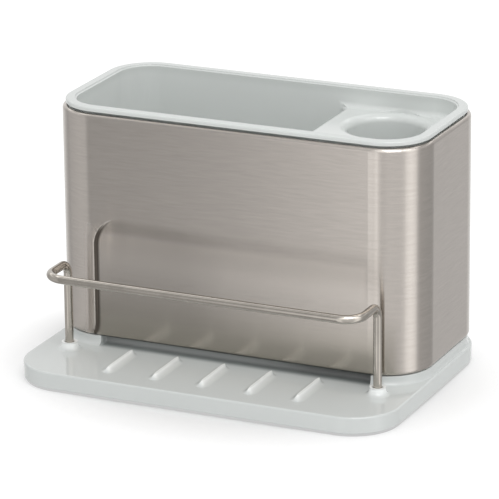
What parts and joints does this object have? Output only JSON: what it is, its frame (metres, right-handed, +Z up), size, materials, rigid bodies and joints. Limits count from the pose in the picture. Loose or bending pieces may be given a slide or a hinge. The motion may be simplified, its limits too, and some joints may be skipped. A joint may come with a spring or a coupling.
{
  "type": "sink caddy",
  "caption": "Sink caddy: brushed steel body with a pale moulded liner, shelf and round brush cup, on a ribbed drip tray with a wire rail for a cloth.",
  "frame": {"origin": "on the surface that the caddy stands on, at the middle of its footprint", "axes": "+X along the width, towards the brush cup; -Y towards the front with the rail; +Z up"},
  "size_m": [0.205, 0.143, 0.1363],
  "materials": {
    "pale_plastic": "glossy pale grey-green moulding",
    "liner_plastic": "satin-gloss pale grey-green moulding",
    "foot_rubber": "matt grey rubber",
    "brushed_steel": "fine horizontal brushing",
    "steel_wire": "satin drawn wire"
  },
  "bodies": {
    "base": {"base_tray": "pale_plastic", "foot_front_left": "foot_rubber", "foot_front_right": "foot_rubber", "foot_back_left": "foot_rubber", "foot_back_right": "foot_rubber"},
    "rail": {"wire_rail": "steel_wire"},
    "body": {"steel_sleeve": "brushed_steel"},
    "liner": {"liner": "liner_plastic"}
  },
  "joints": [
    {"name": "rail_lift", "type": "slide", "parent": "base", "child": "rail", "axis": [0, 0, 1], "range_m": [0, 0.14]},
    {"name": "body_lift", "type": "slide", "parent": "base", "child": "body", "axis": [0, 0, 1], "range_m": [0, 0.14]},
    {"name": "liner_lift", "type": "slide", "parent": "body", "child": "liner", "axis": [0, 0, 1], "range_m": [0, 0.14]}
  ]
}
